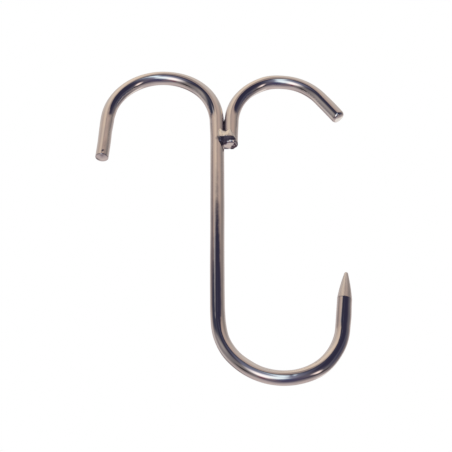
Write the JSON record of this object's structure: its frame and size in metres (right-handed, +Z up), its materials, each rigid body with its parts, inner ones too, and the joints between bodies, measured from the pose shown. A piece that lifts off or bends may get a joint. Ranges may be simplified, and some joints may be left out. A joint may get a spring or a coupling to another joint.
{
  "type": "meat hook",
  "caption": "Twin-top butcher's hook bent from round bar: a large and a small rail hook side by side, a straight shank, and an open bowl that rises to a ground point.",
  "frame": {"origin": "rail seat of the large top hook: the highest point of the inside of its bend, on the bar's middle plane", "axes": "+Z up as the hook hangs; the hook lies in the XZ plane; +X from the shank towards the bowl and its point; -Y is the front, where the visible weld bead is"},
  "size_m": [0.1458, 0.0126, 0.2039],
  "materials": {
    "polished_bar": "polished, with fine draw marks along the bar",
    "plated_weld": "plated over rippled weld metal"
  },
  "bodies": {
    "root": {"main_hook_rod": "polished_bar", "branch_hook_rod": "polished_bar", "front_weld_bead": "plated_weld", "rear_weld_bead": "plated_weld"}
  },
  "joints": []
}
